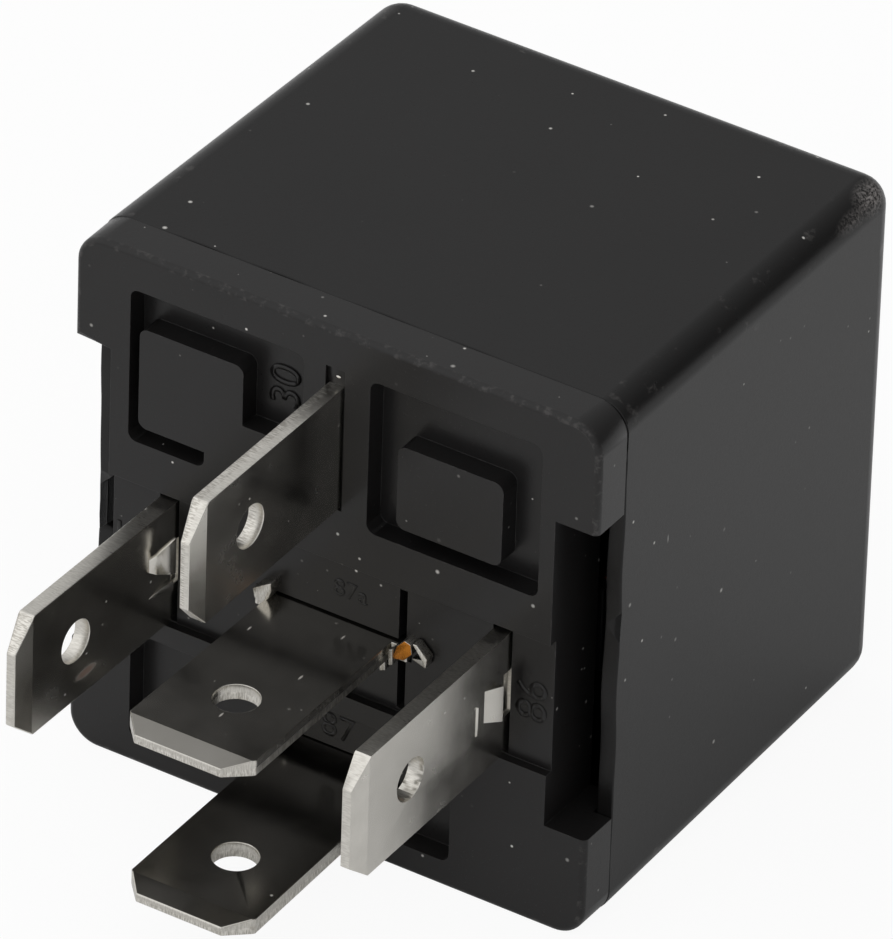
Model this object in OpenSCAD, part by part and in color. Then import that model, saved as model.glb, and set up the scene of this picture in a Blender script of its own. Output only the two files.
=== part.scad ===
// Five-blade automotive relay, lying on one side with its terminals towards -Y.
// X runs across the terminal face, Y from the terminals to the closed end, Z up from the side it rests on.
// Inside the modules y = 0 is the terminal face; settle() then puts the origin under the middle of the relay.

/* [Case] */
// Width of the case across the terminal face
case_w = 27; // [26.5:0.1:29]
// Height of the case as it lies
case_h = 27; // [26.5:0.1:29]
// Depth from the terminal face to the closed end
case_depth = 24.9; // [24:0.1:30]
// Thickness of the base flange
flange_t = 2.15; // [1.8:0.05:2.6]
// Corner radius of the base flange
flange_r = 1.5; // [0.6:0.1:2]
// Wall of the cover
cover_wall = 0.8; // [0.6:0.05:1]
// End wall of the cover
cover_end = 0.9; // [0.7:0.05:1.2]
// Rounding of the cover's edges
cover_r = 1.4; // [1:0.1:2]
// Draft of the cover's sides in degrees
cover_draft = 0.77; // [0.3:0.01:1]
// Height of the plug that the cover slides over
plug_t = 1.65; // [1.4:0.05:2]
// Clearance between the plug and the cover
cover_gap = 0.1; // [0.05:0.01:0.15]
// Line left open between the flange and the cover
seam_gap = 0.08; // [0.04:0.01:0.12]
// Snap bead radius
bead_r = 0.3; // [0.25:0.01:0.35]

/* [Terminal face] */
// Depth of the right side slot, in from the side
side_slot_w = 2.14; // [1.8:0.01:2.4]
// Depth of the left side slot, in from the side
side_slot_left_w = 1.92; // [1.8:0.01:2.4]
// Lower end of the side slots above the resting side
side_slot_low = 5.4; // [4.8:0.1:6.5]
// Upper end of the side slots
side_slot_high = 21.5; // [20:0.1:22]
// Lower edge of the recessed band that holds the middle row of terminals
band_low = 8.05; // [7.6:0.05:8.1]
// Upper edge of the recessed band
band_high = 14.95; // [14.8:0.05:15.4]
// Depth of the recessed band
band_depth = 0.45; // [0.2:0.05:0.7]
// Depth of the moulding pockets
pocket_depth = 1.1; // [0.6:0.05:1.4]
// Corner radius of the pockets
pocket_r = 0.45; // [0.2:0.05:0.6]
// Margin from the case side to the upper pockets
pocket_margin = 2.9; // [2.6:0.05:3.4]
// Margin from the case top to the upper pockets
pocket_top = 1.94; // [1.5:0.02:2.4]
// Lower edge of the upper pockets
pocket_low = 17.16; // [16.6:0.02:17.6]
// Width of the lower channel around the islands
channel_w = 0.84; // [0.6:0.02:1.1]
// Width of the flush islands in the upper pockets
island_w = 5.4; // [4.6:0.1:5.8]
// Height of the left island
island_left_h = 5.2; // [4.5:0.1:5.6]
// Height of the right island
island_right_h = 4.3; // [3.6:0.1:4.8]
// Gap beside the left island
island_left_gap = 0.5; // [0.3:0.05:0.8]
// Gap beside the right island
island_right_gap = 1.9; // [1.5:0.05:2.3]
// Distance from the middle to the upper pockets
pocket_mid = 1.6; // [1.3:0.05:1.9]
// Lower edge of the lower pocket
low_pocket_low = 1.4; // [1:0.05:1.8]
// Upper edge of the lower pocket
low_pocket_high = 7; // [6.6:0.05:7.3]
// Left margin of the lower pocket
low_pocket_left = 3.24; // [2.8:0.02:4]
// Right margin of the lower pocket
low_pocket_right = 6.96; // [6.4:0.02:7.6]
// Width of the narrow key slot beside the middle terminal
key_slot_w = 0.4; // [0.3:0.05:0.6]

/* [Terminals] */
// Width of the blades
blade_w = 6.3; // [6:0.05:6.5]
// Thickness of the terminal sheet
blade_t = 0.8; // [0.6:0.05:0.9]
// Length of the three contact blades outside the face
contact_out = 11.7; // [9.5:0.1:13]
// Length of the two coil blades outside the face
coil_out = 11.5; // [9.5:0.1:13]
// Distance from the face to the hole in each blade
hole_out = 7.15; // [6:0.05:7.6]
// Diameter of the hole in each blade
hole_d = 2.1; // [1.6:0.05:2.4]
// Length of the chamfer on each tip corner
tip_run = 1.2; // [0.8:0.05:1.6]
// Width of the chamfer on each tip corner
tip_cut = 1; // [0.6:0.05:1.4]
// Length of the lead-in bevel on the tip
bevel_run = 1.1; // [0.7:0.05:1.4]
// Depth of the lead-in bevel on each side
bevel_cut = 0.18; // [0.08:0.01:0.2]
// Clearance of the terminals in the base
slot_gap = 0.1; // [0.06:0.01:0.14]
// Shoulder of the contact terminals beyond the blade width
shoulder = 0.8; // [0.6:0.05:0.9]
// Centre distance between the two coil blades
coil_spacing = 17.3; // [16.8:0.1:17.5]
// Drop of the middle row below the middle of the case
row_drop = 2.15; // [2:0.05:2.2]
// Rise of the upper terminal above the middle of the case
upper_rise = 7.45; // [7.3:0.05:7.6]
// Drop of the lower terminal below the middle of the case
lower_drop = 10.55; // [10.4:0.05:10.8]
// Length of the stake dent on the coil blades
stake_len = 2.3; // [1.6:0.1:2.6]
// Height of the stake dent
stake_w = 2.3; // [1.6:0.1:3]
// Depth of the stake dent
stake_depth = 0.24; // [0.1:0.02:0.28]

/* [Coil] */
// Diameter of the iron core
core_d = 6; // [5:0.1:6.6]
// Diameter of the pole face
pole_d = 9.4; // [8.6:0.1:10]
// Thickness of the pole
pole_t = 1.2; // [0.9:0.1:1.5]
// Clearance between the bobbin and the yoke
bobbin_gap = 0.2; // [0.15:0.05:0.4]
// Thickness of the bobbin flanges
bobbin_flange_t = 0.8; // [0.6:0.05:1]
// Wall of the bobbin tube
bobbin_wall = 0.7; // [0.5:0.05:0.9]
// Margin between the winding and the edge of the bobbin flanges
winding_inset = 0.7; // [0.5:0.1:1.2]
// Diameter of the coil wire ends
lead_d = 0.3; // [0.2:0.02:0.36]
// Width of the coil terminal tabs inside
tab_w = 2.6; // [2.2:0.1:3]

/* [Magnet frame] */
// Distance from the terminal face to the yoke foot
foot_y = 5; // [4.9:0.05:5.4]
// Thickness of the yoke iron
yoke_t = 1.6; // [1.4:0.05:1.8]
// Width of the yoke
yoke_w = 13; // [11.5:0.1:13.5]
// Room above the yoke under the case top
top_room = 4.7; // [4.4:0.05:5]
// Thickness of the armature
armature_t = 1.4; // [1.2:0.05:1.5]
// Width of the armature
armature_w = 12; // [10:0.1:13]
// Angle by which the released armature stands open
open_angle = 2.2; // [1.6:0.05:2.4]

/* [Contacts] */
// Thickness of the contact spring
leaf_t = 0.3; // [0.2:0.02:0.34]
// Width of the contact spring over the yoke and armature
leaf_w = 8; // [7:0.1:9]
// Width of the contact spring's tail
tail_w = 5; // [4.2:0.1:5.6]
// Diameter of the contact buttons
contact_d = 3.2; // [2.8:0.05:3.4]
// Thickness of the fixed contact buttons
button_t = 0.7; // [0.5:0.05:0.8]
// Height of the contacts above the lower blade
contact_rise = 2.45; // [2.4:0.05:2.6]
// Width of the terminal strips inside
strip_w = 4.4; // [4:0.1:4.6]
// Diameter of the rivets
rivet_d = 1.6; // [1.2:0.05:1.8]
// Air left where the moving pieces meet
air_gap = 0.1; // [0.06:0.01:0.14]

/* [Hidden] */
fit_gap = 0.02;                       // running clearance of riveted and slipped fits
eps = 0.01;
mid_z = case_h / 2;
row_z = mid_z - row_drop;
upper_z = mid_z + upper_rise;
lower_z = mid_z - lower_drop;
contact_z = lower_z + contact_rise;
coil_x = coil_spacing / 2;
slot_in = case_w / 2 - side_slot_w;   // inner side of each side slot
slot_in_left = case_w / 2 - side_slot_left_w;
plug_y = flange_t + plug_t;           // inner face of the base
strip_gap = 0.3;                      // from the middle plane to each terminal strip
strip_out = strip_gap + strip_w;
shank_w = blade_w + 2 * shoulder;
shank_y = 0.3;                        // where the upper terminal's shoulder starts
plate_end = plug_y + blade_t;         // far face of the changeover terminal's foot plate

// Riveted stack behind the pole face, from the closed end inwards
rivet_head_t = 0.4;
peen_t = 0.3;                         // peened tail of a fixed contact
end_room = 0.5;
moving_in_t = 0.85;                   // moving contact's head towards the coil
moving_out_t = 0.6;                   // its head towards the closed end
leaf_gap = 0.05;
contact_r = contact_d / 2;
end_inner_y = case_depth - cover_end;
nc_tab_y = end_inner_y - end_room - peen_t - blade_t;
nc_face_y = nc_tab_y - button_t;
yoke_top = case_h - top_room;
yoke_in = yoke_top - yoke_t;
yoke_bend_r = 0.8 * yoke_t;
edge_r = 0.4;                         // rounded edge that the armature rocks on
pivot_z = yoke_top - edge_r - 0.1;
arm_reach = pivot_z - contact_z;
swing = arm_reach * sin(open_angle) + contact_r * sin(open_angle);
// Closed armature: pole plane, armature, leaf and outer head; released, the outer head meets the NC contact
closed_stack = 2 * air_gap + armature_t + 2 * leaf_gap + leaf_t + moving_out_t;
pole_y = nc_face_y - swing - closed_stack;
pivot_y = pole_y + air_gap / 2;
arm_in = pole_y + air_gap;
arm_out = arm_in + armature_t;
leaf_in = arm_out + leaf_gap;
leaf_out = leaf_in + leaf_t;
no_face_y = leaf_in - leaf_gap - moving_in_t - air_gap;
no_tab_y = no_face_y - button_t - blade_t;
winding_y = foot_y + yoke_t + bobbin_flange_t;
winding_len = pole_y - pole_t - bobbin_flange_t - winding_y;
bobbin_w = yoke_in - bobbin_gap - (contact_z + contact_r - 0.5);
winding_d = bobbin_w - 2 * winding_inset;
core_z = yoke_in - bobbin_gap - bobbin_w / 2;
arm_top = pivot_z - 0.1;
arm_low = contact_z + contact_r + 0.6;
yoke_low = core_z - core_d / 2 - 3;
leaf_rise = yoke_top + leaf_gap;      // underside of the leaf on the yoke
wing_z = leaf_rise + leaf_t + leaf_gap;
tail_low = contact_z - contact_r - 0.3;
tab_low = contact_z - contact_r;
tab_high = contact_z + contact_r + 0.2;
tab_x = contact_r + 0.3;
lead_y = winding_y + 1;
lug_y = lead_y + 1.8;                 // end of the coil terminals' tabs
rivet_x = 2.7;
rivet_y = winding_y + 1.2;
rivet_pitch = 2.6;
arm_rivet_x = 2.8;
arm_rivet_z = pivot_z - 4.2;
settle_y = (contact_out > coil_out ? contact_out : coil_out) / 2 - case_depth / 2;

// Moves the whole relay so that the origin is under its middle
module settle() translate([0, settle_y, 0]) children();

// Box between two corners
module block(x0, x1, y0, y1, z0, z1) translate([x0, y0, z0]) cube([x1 - x0, y1 - y0, z1 - z0]);

// Extrudes a shape drawn in X and Z from y0 to y1
module across(y0, y1) translate([0, y1, 0]) rotate([90, 0, 0]) linear_extrude(y1 - y0) children();

// Extrudes a shape drawn in Y and Z over a width centred on x
module along_x(x, w) translate([x, 0, 0]) rotate([90, 0, 90]) linear_extrude(w, center = true) children();

// Rectangle in X and Z with round corners
module round_rect(x0, x1, z0, z1, r) {
    translate([x0 + r, z0]) square([x1 - x0 - 2 * r, z1 - z0]);
    translate([x0, z0 + r]) square([x1 - x0, z1 - z0 - 2 * r]);
    for (x = [x0 + r, x1 - r], z = [z0 + r, z1 - r]) translate([x, z]) circle(r, $fn = 32);
}

// Rod along Y
module rod_y(x, z, y0, y1, d, n = 48)
    translate([x, y0, z]) rotate([-90, 0, 0]) cylinder(h = y1 - y0, d = d, $fn = n);

// Rounded block that narrows with the draft towards the closed end; inset shrinks it all round
module drafted(y0, y1, inset, r) {
    lean = tan(cover_draft);
    near = case_w / 2 - inset - lean * (y0 - flange_t) - r;
    far = case_w / 2 - inset - lean * (y1 - flange_t) - r;
    up = (case_h - case_w) / 2;
    hull() for (sx = [-1, 1], sz = [-1, 1]) {
        translate([sx * near, y0, mid_z + sz * (near + up)])
            rotate([-90, 0, 0]) cylinder(h = eps, r = r, $fn = 24);
        // Each corner of the closed end turns over in steps, like a quarter of a ball
        for (a = [0:15:75]) translate([sx * far, y1 - r + r * sin(a) / sin(75) - eps, mid_z + sz * (far + up)])
            rotate([-90, 0, 0]) cylinder(h = eps, r = r * cos(a), $fn = 24);
    }
}

// Snap beads along the upper and lower side of the plug
module beads(grow) {
    for (side = [-1, 1]) {
        bead_z = mid_z + side * (case_h / 2 - cover_wall - cover_gap);
        translate([-4 - grow, flange_t + plug_t / 2, bead_z])
            rotate([0, 90, 0]) cylinder(h = 8 + 2 * grow, r = bead_r + grow, $fn = 32);
    }
}

module cover() color([0.13, 0.125, 0.125]) settle() difference() {
    drafted(flange_t + seam_gap, case_depth, 0, cover_r);
    drafted(flange_t - 1, end_inner_y, cover_wall, cover_r - cover_wall);
    beads(cover_gap);
}

// Upper pockets, each a ring around an island that stays flush with the face
module upper_pockets() {
    top = case_h - pocket_top;
    left = -case_w / 2 + pocket_margin;
    right = case_w / 2 - pocket_margin;
    island_low = pocket_low + channel_w;
    left_island = left + island_left_gap;
    right_island = right - island_right_gap;
    across(-eps, pocket_depth) difference() {
        union() {
            round_rect(left, left_island + island_w * 0.64, pocket_low, top, channel_w / 2 - eps);
            round_rect(left, -pocket_mid, island_low + island_left_h / 2 - pocket_r, top, pocket_r);
        }
        round_rect(left_island, left_island + island_w, island_low, island_low + island_left_h, pocket_r);
    }
    across(-eps, pocket_depth) difference() {
        round_rect(pocket_mid + 0.2, right, pocket_low, top, pocket_r);
        round_rect(right_island - island_w, right_island, island_low, island_low + island_right_h, pocket_r);
    }
}

// Slots that the terminals pass through
module terminal_slots() {
    g = slot_gap;
    half = blade_w / 2 + g;
    wide = shank_w / 2 + g;
    thin = blade_t / 2 + g;
    deep = plug_y + eps;
    block(-thin, thin, -eps, deep, upper_z - half, upper_z + wide);
    for (side = [-1, 1])
        block(side * coil_x - thin, side * coil_x + thin, -eps, deep, row_z - half, row_z + half);
    block(-wide, wide, -eps, deep, row_z - thin, row_z + thin);
    block(-wide, wide, -eps, deep, lower_z - thin, lower_z + thin);
    // Deeper moulding recess above the lower blade
    block(-half, half, -eps, flange_t, lower_z, lower_z + blade_t + thin);
}

// Pads that carry the yoke foot
module foot_pads() {
    for (side = [-1, 1], z = [yoke_low + 1.2, yoke_in - 1.2])
        block(side > 0 ? strip_out + slot_gap : -yoke_w / 2, side > 0 ? yoke_w / 2 : -strip_out - slot_gap,
              plug_y - eps, foot_y, z - 1, z + 1);
}

module base() color([0.19, 0.185, 0.185]) settle() difference() {
    union() {
        inset = cover_wall + cover_gap;
        across(0, flange_t) round_rect(-case_w / 2, case_w / 2, 0, case_h, flange_r);
        across(flange_t - eps, plug_y)
            round_rect(-case_w / 2 + inset + 0.03, case_w / 2 - inset - 0.03, inset + 0.03, case_h - inset - 0.03, 0.6);
        beads(0);
        foot_pads();
    }
    for (side = [-1, 1])
        block(side > 0 ? slot_in : -case_w / 2 - 1, side > 0 ? case_w / 2 + 1 : -slot_in_left,
              -1, plug_y + 1, side_slot_low, side_slot_high);
    block(-case_w, case_w, -1, band_depth, band_low, band_high);
    upper_pockets();
    across(-eps, pocket_depth)
        round_rect(-case_w / 2 + low_pocket_left, case_w / 2 - low_pocket_right, low_pocket_low, low_pocket_high,
                   pocket_r);
    block(shank_w / 2 - key_slot_w - 0.2, shank_w / 2 - 0.2, -eps, flange_t - 0.3,
          row_z - blade_w / 2, row_z + blade_w / 2);
    terminal_slots();
}

// Blade from y = 0 outwards, its width along X and its thickness along Z
module blade(out) {
    w = blade_w / 2;
    t = blade_t / 2;
    difference() {
        intersection() {
            linear_extrude(blade_t, center = true)
                polygon([[-w, 0], [w, 0], [w, tip_run - out], [w - tip_cut, -out], [tip_cut - w, -out],
                         [-w, tip_run - out]]);
            along_x(0, blade_w)
                polygon([[0, -t], [0, t], [bevel_run - out, t], [-out, t - bevel_cut], [-out, bevel_cut - t],
                         [bevel_run - out, -t]]);
        }
        translate([0, -hole_out, 0]) cylinder(h = 2 * blade_t, d = hole_d, center = true, $fn = 48);
    }
}

module rivet_holes(d) {
    for (k = [0, 1]) translate([rivet_x, rivet_y + k * rivet_pitch, yoke_in - 1])
        cylinder(h = yoke_t + 4, d = d, $fn = 32);
}

module terminal_30() color([0.78, 0.77, 0.74]) settle() difference() {
    union() {
        t = blade_t / 2;
        low = upper_z - blade_w / 2;
        neck_high = wing_z + blade_t + 1;
        translate([0, 0, upper_z]) rotate([0, 90, 0]) blade(contact_out);
        block(-t, t, -eps, foot_y - 0.3, low, upper_z + blade_w / 2);
        block(-t, t, shank_y, foot_y - 0.3, low, upper_z + shank_w / 2);
        block(-t, t, foot_y - 0.4, rivet_y + rivet_pitch + 2, wing_z, neck_high);
        block(-t, yoke_w / 2 - 1, rivet_y - 1.8, rivet_y + rivet_pitch + 2, wing_z, wing_z + blade_t);
    }
    rivet_holes(rivet_d + 2 * fit_gap);
}

// Coil terminal; its blade stands upright and a narrow tab reaches past the bobbin flange
module coil_terminal(side) {
    t = blade_t / 2;
    cut = blade_t / 2 - stake_depth;
    translate([side * coil_x, 0, 0]) difference() {
        union() {
            translate([0, 0, row_z]) rotate([0, 90, 0]) blade(coil_out);
            block(-t, t, -eps, foot_y - 0.3, row_z - blade_w / 2, row_z + blade_w / 2);
            block(-t, t, foot_y - 0.4, lug_y, row_z - tab_w / 2, row_z + tab_w / 2);
        }
        // Wedge-shaped stake dents, deepest at the face of the base
        for (face = [-1, 1]) translate([0, 0, row_z - stake_w / 2]) linear_extrude(stake_w)
            polygon([[face * t, band_depth - stake_len], [face * cut, band_depth], [face * cut, band_depth + 0.3],
                     [face * (t + 1), band_depth + 0.3], [face * (t + 1), band_depth - stake_len]]);
    }
}

module terminal_85() color([0.78, 0.77, 0.74]) settle() coil_terminal(-1);
module terminal_86() color([0.78, 0.77, 0.74]) settle() coil_terminal(1);

// Upright tab that carries a fixed contact, beside the strip on one side of the middle
module contact_tab(side, y) {
    x_in = side * strip_gap;
    x_out = side * strip_out;
    difference() {
        union() {
            block(min(x_in, x_out), max(x_in, x_out), y, y + blade_t, lower_z - blade_t / 2, tab_high);
            block(min(-side * tab_x, x_out), max(-side * tab_x, x_out), y, y + blade_t, tab_low, tab_high);
        }
        rod_y(0, contact_z, y - 1, y + blade_t + 1, rivet_d + 2 * fit_gap, 32);
    }
}

module terminal_87() color([0.78, 0.77, 0.74]) settle() {
    t = blade_t / 2;
    translate([0, 0, lower_z]) blade(contact_out);
    block(-blade_w / 2, blade_w / 2, -eps, pocket_depth + 0.2, lower_z - t, lower_z + t);
    block(-shank_w / 2, shank_w / 2, pocket_depth + 0.1, plug_y - 0.4, lower_z - t, lower_z + t);
    block(strip_gap, shank_w / 2, plug_y - 0.5, plug_y + eps, lower_z - t, lower_z + t);
    block(strip_gap, strip_out, plug_y, no_tab_y + blade_t, lower_z - t, lower_z + t);
    contact_tab(1, no_tab_y);
}

module terminal_87a() color([0.78, 0.77, 0.74]) settle() {
    t = blade_t / 2;
    translate([0, 0, row_z]) blade(contact_out);
    block(-blade_w / 2, blade_w / 2, -eps, band_depth, row_z - t, row_z + t);
    block(-shank_w / 2, shank_w / 2, band_depth - 0.25, plate_end, row_z - t, row_z + t);
    block(-shank_w / 2, -strip_gap, plug_y, plate_end, row_z - 2 * blade_t, row_z + t);
    block(-strip_out, -strip_gap, plug_y, plate_end, lower_z - t, row_z - blade_t);
    block(-strip_out, -strip_gap, plug_y, nc_tab_y + blade_t, lower_z - t, lower_z + t);
    contact_tab(-1, nc_tab_y);
}

// The yoke is bent from strip; the armature rocks on the rounded edge of its free end
module yoke() color([0.62, 0.62, 0.64]) settle() difference() {
    along_x(0, yoke_w) {
        translate([foot_y, yoke_low]) square([yoke_t, yoke_top - yoke_bend_r - yoke_low]);
        translate([foot_y + yoke_bend_r, yoke_in]) square([pole_y - edge_r - foot_y - yoke_bend_r, yoke_t]);
        intersection() {
            translate([foot_y + yoke_bend_r, yoke_top - yoke_bend_r]) circle(yoke_bend_r, $fn = 40);
            translate([foot_y, yoke_top - yoke_bend_r - eps]) square(yoke_bend_r + eps);
        }
        translate([pole_y - yoke_t, yoke_in]) square([yoke_t, yoke_t - edge_r]);
        translate([pole_y - edge_r, yoke_top - edge_r]) circle(edge_r, $fn = 24);
    }
    rod_y(0, core_z, foot_y - 1, foot_y + yoke_t + 1, core_d + 2 * fit_gap);
    rivet_holes(rivet_d + 2 * fit_gap);
}

module core() color([0.6, 0.6, 0.62]) settle() {
    rod_y(0, core_z, foot_y, pole_y, core_d);
    rod_y(0, core_z, pole_y - pole_t, pole_y, pole_d);
}

module bobbin() color([0.09, 0.09, 0.1]) settle() difference() {
    union() {
        half = bobbin_w / 2;
        wing = coil_x + blade_t / 2 + 0.9;
        rod_y(0, core_z, winding_y - bobbin_flange_t, winding_y + winding_len + bobbin_flange_t,
              core_d + 2 * bobbin_wall);
        for (y = [winding_y - bobbin_flange_t, winding_y + winding_len])
            across(y, y + bobbin_flange_t) round_rect(-half, half, core_z - half, core_z + half, 1.5);
        block(-wing, wing, winding_y - bobbin_flange_t, winding_y, row_z - tab_w / 2 - 0.9, row_z + tab_w / 2 + 0.9);
    }
    rod_y(0, core_z, 0, case_depth, core_d + 2 * fit_gap);
    for (side = [-1, 1])
        block(side * coil_x - blade_t / 2 - fit_gap, side * coil_x + blade_t / 2 + fit_gap, 0, winding_y + 1,
              row_z - tab_w / 2 - fit_gap, row_z + tab_w / 2 + fit_gap);
}

module coil_winding() color([0.62, 0.33, 0.12]) settle() difference() {
    rod_y(0, core_z, winding_y + fit_gap, winding_y + winding_len - fit_gap, winding_d, 64);
    rod_y(0, core_z, winding_y - 1, winding_y + winding_len + 1, core_d + 2 * bobbin_wall + 2 * fit_gap);
}

// Coil wire end: a straight run from the winding, then three turns round the terminal's tab
module coil_lead(side) {
    g = fit_gap;
    t = blade_t / 2 + g;
    h = tab_w / 2 + g;
    turns = 3;
    start = sqrt(pow(winding_d / 2 + g, 2) - pow(core_z - row_z - lead_d, 2));
    difference() {
        block(side * coil_x - t - lead_d, side * coil_x + t + lead_d, lead_y - lead_d / 2,
              lead_y + (turns - 0.5) * lead_d, row_z - h - lead_d, row_z + h + lead_d);
        block(side * coil_x - t, side * coil_x + t, lead_y - 1, lead_y + 2, row_z - h, row_z + h);
    }
    translate([side * (start + 0.02), lead_y, row_z]) rotate([0, side * 90, 0])
        cylinder(h = coil_x - t - lead_d / 2 - start, d = lead_d, $fn = 24);
}

module coil_lead_85() color([0.72, 0.38, 0.16]) settle() coil_lead(-1);
module coil_lead_86() color([0.72, 0.38, 0.16]) settle() coil_lead(1);

// Swings a piece of the armature from its closed place to the released one
module released()
    translate([0, pivot_y, pivot_z]) rotate([open_angle, 0, 0]) translate([0, -pivot_y, -pivot_z])
    children();

module armature() color([0.62, 0.62, 0.64]) settle() released() difference() {
    along_x(0, armature_w)
        polygon([[arm_in, arm_low], [arm_out, arm_low], [arm_out, arm_top - 0.5], [arm_out - 0.5, arm_top],
                 [arm_in, arm_top]]);
    for (side = [-1, 1])
        rod_y(side * arm_rivet_x, arm_rivet_z, arm_in - 1, arm_out + 1, rivet_d + 2 * fit_gap, 32);
}

// Leaf profile: along the yoke, round the hinge corner and down the released armature
function leaf_mid() = (leaf_in + leaf_out) / 2 - pivot_y;
function swung(y, z) = [pivot_y + y * cos(open_angle) - z * sin(open_angle),
                        pivot_z + y * sin(open_angle) + z * cos(open_angle)];
leaf_r = 1.3;
leaf_top = leaf_rise + leaf_t / 2;
// Local height of the bend's centre, so that both straight runs are tangent to it
bend_s = (leaf_top - leaf_r - pivot_z - (leaf_mid() - leaf_r) * sin(open_angle)) / cos(open_angle);
bend_c = swung(leaf_mid() - leaf_r, bend_s);
function leaf_side(off, low) = concat(
    [[rivet_y - 1.4, leaf_top + off]],
    [for (k = [0:8]) let (a = 90 - (90 - open_angle) * k / 8)
        [bend_c[0] + (leaf_r + off) * cos(a), bend_c[1] + (leaf_r + off) * sin(a)]],
    [swung(leaf_mid() + off, low - pivot_z)]);
function reversed(list) = [for (k = [len(list) - 1:-1:0]) list[k]];

module leaf_run(w, low) along_x(0, w)
    polygon(concat(leaf_side(leaf_t / 2, low), reversed(leaf_side(-leaf_t / 2, low))));

module contact_spring() color([0.8, 0.52, 0.3]) settle() difference() {
    union() {
        leaf_run(leaf_w, arm_low);
        leaf_run(tail_w, tail_low);
    }
    rivet_holes(rivet_d + 2 * fit_gap + 0.06);
    released() {
        for (side = [-1, 1]) rod_y(side * arm_rivet_x, arm_rivet_z, arm_in, leaf_out + 1, rivet_d + 0.1, 32);
        rod_y(0, contact_z, arm_in, leaf_out + 1, rivet_d + 0.1, 32);
    }
}

module moving_contact() color([0.86, 0.85, 0.8]) settle() released() {
    rod_y(0, contact_z, leaf_in - leaf_gap - moving_in_t, leaf_in - leaf_gap, contact_d);
    rod_y(0, contact_z, leaf_in - leaf_gap - eps, leaf_out + leaf_gap + eps, rivet_d, 32);
    rod_y(0, contact_z, leaf_out + leaf_gap, leaf_out + leaf_gap + moving_out_t, contact_d);
}

// Fixed contact; its button lies on the tab and its shank is peened behind
module fixed_contact(tab_y, face, dir) {
    back = dir > 0 ? tab_y : tab_y + blade_t;
    rod_y(0, contact_z, min(face, face - dir * button_t), max(face, face - dir * button_t), contact_d);
    low = min(back, back - dir * peen_t);
    rod_y(0, contact_z, low, low + peen_t, rivet_d + 0.5, 32);
    rod_y(0, contact_z, tab_y - eps, tab_y + blade_t + eps, rivet_d, 32);
}

module fixed_contact_no() color([0.86, 0.85, 0.8]) settle() fixed_contact(no_tab_y, no_face_y, 1);
module fixed_contact_nc() color([0.86, 0.85, 0.8]) settle() fixed_contact(nc_tab_y, nc_face_y, -1);

module yoke_rivets() color([0.7, 0.7, 0.72]) settle() for (k = [0, 1])
    translate([rivet_x, rivet_y + k * rivet_pitch, 0]) {
        translate([0, 0, yoke_in]) cylinder(h = wing_z + blade_t - yoke_in + eps, d = rivet_d, $fn = 32);
        translate([0, 0, wing_z + blade_t]) cylinder(h = rivet_head_t, d = rivet_d + 0.8, $fn = 32);
    }

module armature_rivets() color([0.7, 0.7, 0.72]) settle() released() for (side = [-1, 1]) {
    rod_y(side * arm_rivet_x, arm_rivet_z, arm_in, leaf_out + leaf_gap + eps, rivet_d, 32);
    rod_y(side * arm_rivet_x, arm_rivet_z, leaf_out + leaf_gap, leaf_out + leaf_gap + rivet_head_t, rivet_d + 0.8, 32);
}

cover();
base();
terminal_30();
terminal_85();
terminal_86();
terminal_87();
terminal_87a();
yoke();
core();
bobbin();
coil_winding();
coil_lead_85();
coil_lead_86();
armature();
contact_spring();
moving_contact();
fixed_contact_no();
fixed_contact_nc();
yoke_rivets();
armature_rivets();
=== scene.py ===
import bpy
import bmesh
import math
from mathutils import Matrix, Vector, noise


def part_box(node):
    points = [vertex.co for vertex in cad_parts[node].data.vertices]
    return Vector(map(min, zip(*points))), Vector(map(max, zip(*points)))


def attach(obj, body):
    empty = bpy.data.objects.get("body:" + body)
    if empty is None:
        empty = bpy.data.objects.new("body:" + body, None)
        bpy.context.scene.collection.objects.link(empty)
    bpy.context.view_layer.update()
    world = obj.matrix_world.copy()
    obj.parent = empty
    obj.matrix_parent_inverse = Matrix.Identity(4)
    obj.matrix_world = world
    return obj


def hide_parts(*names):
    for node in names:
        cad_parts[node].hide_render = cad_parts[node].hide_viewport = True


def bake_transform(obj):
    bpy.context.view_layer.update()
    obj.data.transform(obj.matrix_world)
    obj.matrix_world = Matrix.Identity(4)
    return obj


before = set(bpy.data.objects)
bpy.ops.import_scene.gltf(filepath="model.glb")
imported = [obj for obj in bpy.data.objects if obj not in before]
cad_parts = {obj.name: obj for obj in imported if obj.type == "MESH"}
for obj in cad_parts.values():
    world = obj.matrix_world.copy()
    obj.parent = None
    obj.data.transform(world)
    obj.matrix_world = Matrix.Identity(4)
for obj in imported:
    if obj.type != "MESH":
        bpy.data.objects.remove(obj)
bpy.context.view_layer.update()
mm = 0.001


def boxOf(node):
    low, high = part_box(node)
    return low / mm, high / mm


faceY = boxOf("base")[0].y  # the terminal face, which the blades stand out of
middleZ = (boxOf("cover")[0].z + boxOf("cover")[1].z) / 2


# sRGB hex code to linear colour
def linear(hexCode):
    channels = [int(hexCode[i:i + 2], 16) / 255 for i in (1, 3, 5)]
    return tuple(c / 12.92 if c <= 0.04045 else ((c + 0.055) / 1.055) ** 2.4 for c in channels) + (1.0,)


# Adds one node; stops are the places and colours of a colour ramp
def addNode(tree, kind, values=None, links=None, stops=None, **settings):
    node = tree.nodes.new(kind)
    for name, value in settings.items():
        setattr(node, name, value)
    for place, (position, colour) in enumerate(stops or []):
        while len(node.color_ramp.elements) <= place:
            node.color_ramp.elements.new(1.0)
        element = node.color_ramp.elements[place]
        element.position = position
        element.color = linear(colour) if isinstance(colour, str) else (colour,) * 3 + (1.0,)
    for key, value in (values or {}).items():
        node.inputs[key].default_value = value
    for key, socket in (links or {}).items():
        tree.links.new(socket, node.inputs[key])
    return node


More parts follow.
